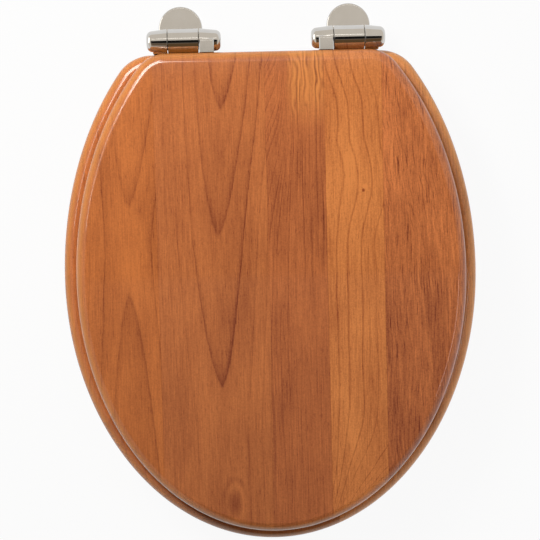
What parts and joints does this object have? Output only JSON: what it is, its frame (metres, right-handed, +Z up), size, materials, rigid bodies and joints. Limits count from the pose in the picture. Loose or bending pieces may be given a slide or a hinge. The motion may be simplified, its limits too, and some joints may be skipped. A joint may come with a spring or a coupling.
{
  "type": "toilet seat",
  "caption": "Oval solid-wood toilet seat: ring and closing lid with rounded edges on chrome soft-close barrel hinges, fixed to the pan by studs with wing nuts.",
  "frame": {"origin": "midway between the two fixing studs, on the pan's top face", "axes": "+X to the right for someone facing the pan, +Y to the back and the hinges, +Z up"},
  "size_m": [0.381, 0.4965, 0.114],
  "materials": {
    "wood": "gloss lacquer",
    "chrome": "polished",
    "steel": "zinc plated",
    "rubber": "matt",
    "nylon": "natural",
    "damper": "moulded"
  },
  "bodies": {
    "base": {"foot_left": "chrome", "foot_right": "chrome", "foot_gasket_left": "rubber", "foot_gasket_right": "rubber", "fixing_stud_left": "steel", "fixing_stud_right": "steel", "cone_washer_left": "rubber", "cone_washer_right": "rubber", "flat_washer_left": "steel", "flat_washer_right": "steel", "wing_nut_left": "nylon", "wing_nut_right": "nylon", "pillar_left": "chrome", "pillar_right": "chrome", "pillar_screw_left": "steel", "pillar_screw_right": "steel", "pivot_pin_left": "steel", "pivot_pin_right": "steel", "damper_body_left": "damper", "damper_body_right": "damper"},
    "ring": {"seat_ring": "wood", "ring_screws": "steel", "ring_buffer_front_left": "rubber", "ring_buffer_front_right": "rubber", "ring_buffer_rear_left": "rubber", "ring_buffer_rear_right": "rubber", "ring_arm_left": "chrome", "ring_arm_right": "chrome", "damper_shaft_right": "steel", "damper_washer_right": "nylon", "pin_bush_left": "nylon"},
    "lid": {"lid": "wood", "lid_screws": "steel", "lid_buffer_left": "rubber", "lid_buffer_right": "rubber", "lid_arm_left": "chrome", "lid_arm_right": "chrome", "damper_shaft_left": "steel", "damper_washer_left": "nylon", "pin_bush_right": "nylon"}
  },
  "joints": [
    {"name": "ring_hinge", "type": "hinge", "parent": "base", "child": "ring", "pos_m": [0, -0.0135, 0.036], "axis": [-1, 0, 0], "range_deg": [0, 96]},
    {"name": "lid_hinge", "type": "hinge", "parent": "ring", "child": "lid", "pos_m": [0, -0.0135, 0.036], "axis": [-1, 0, 0], "range_deg": [0, 99]}
  ]
}
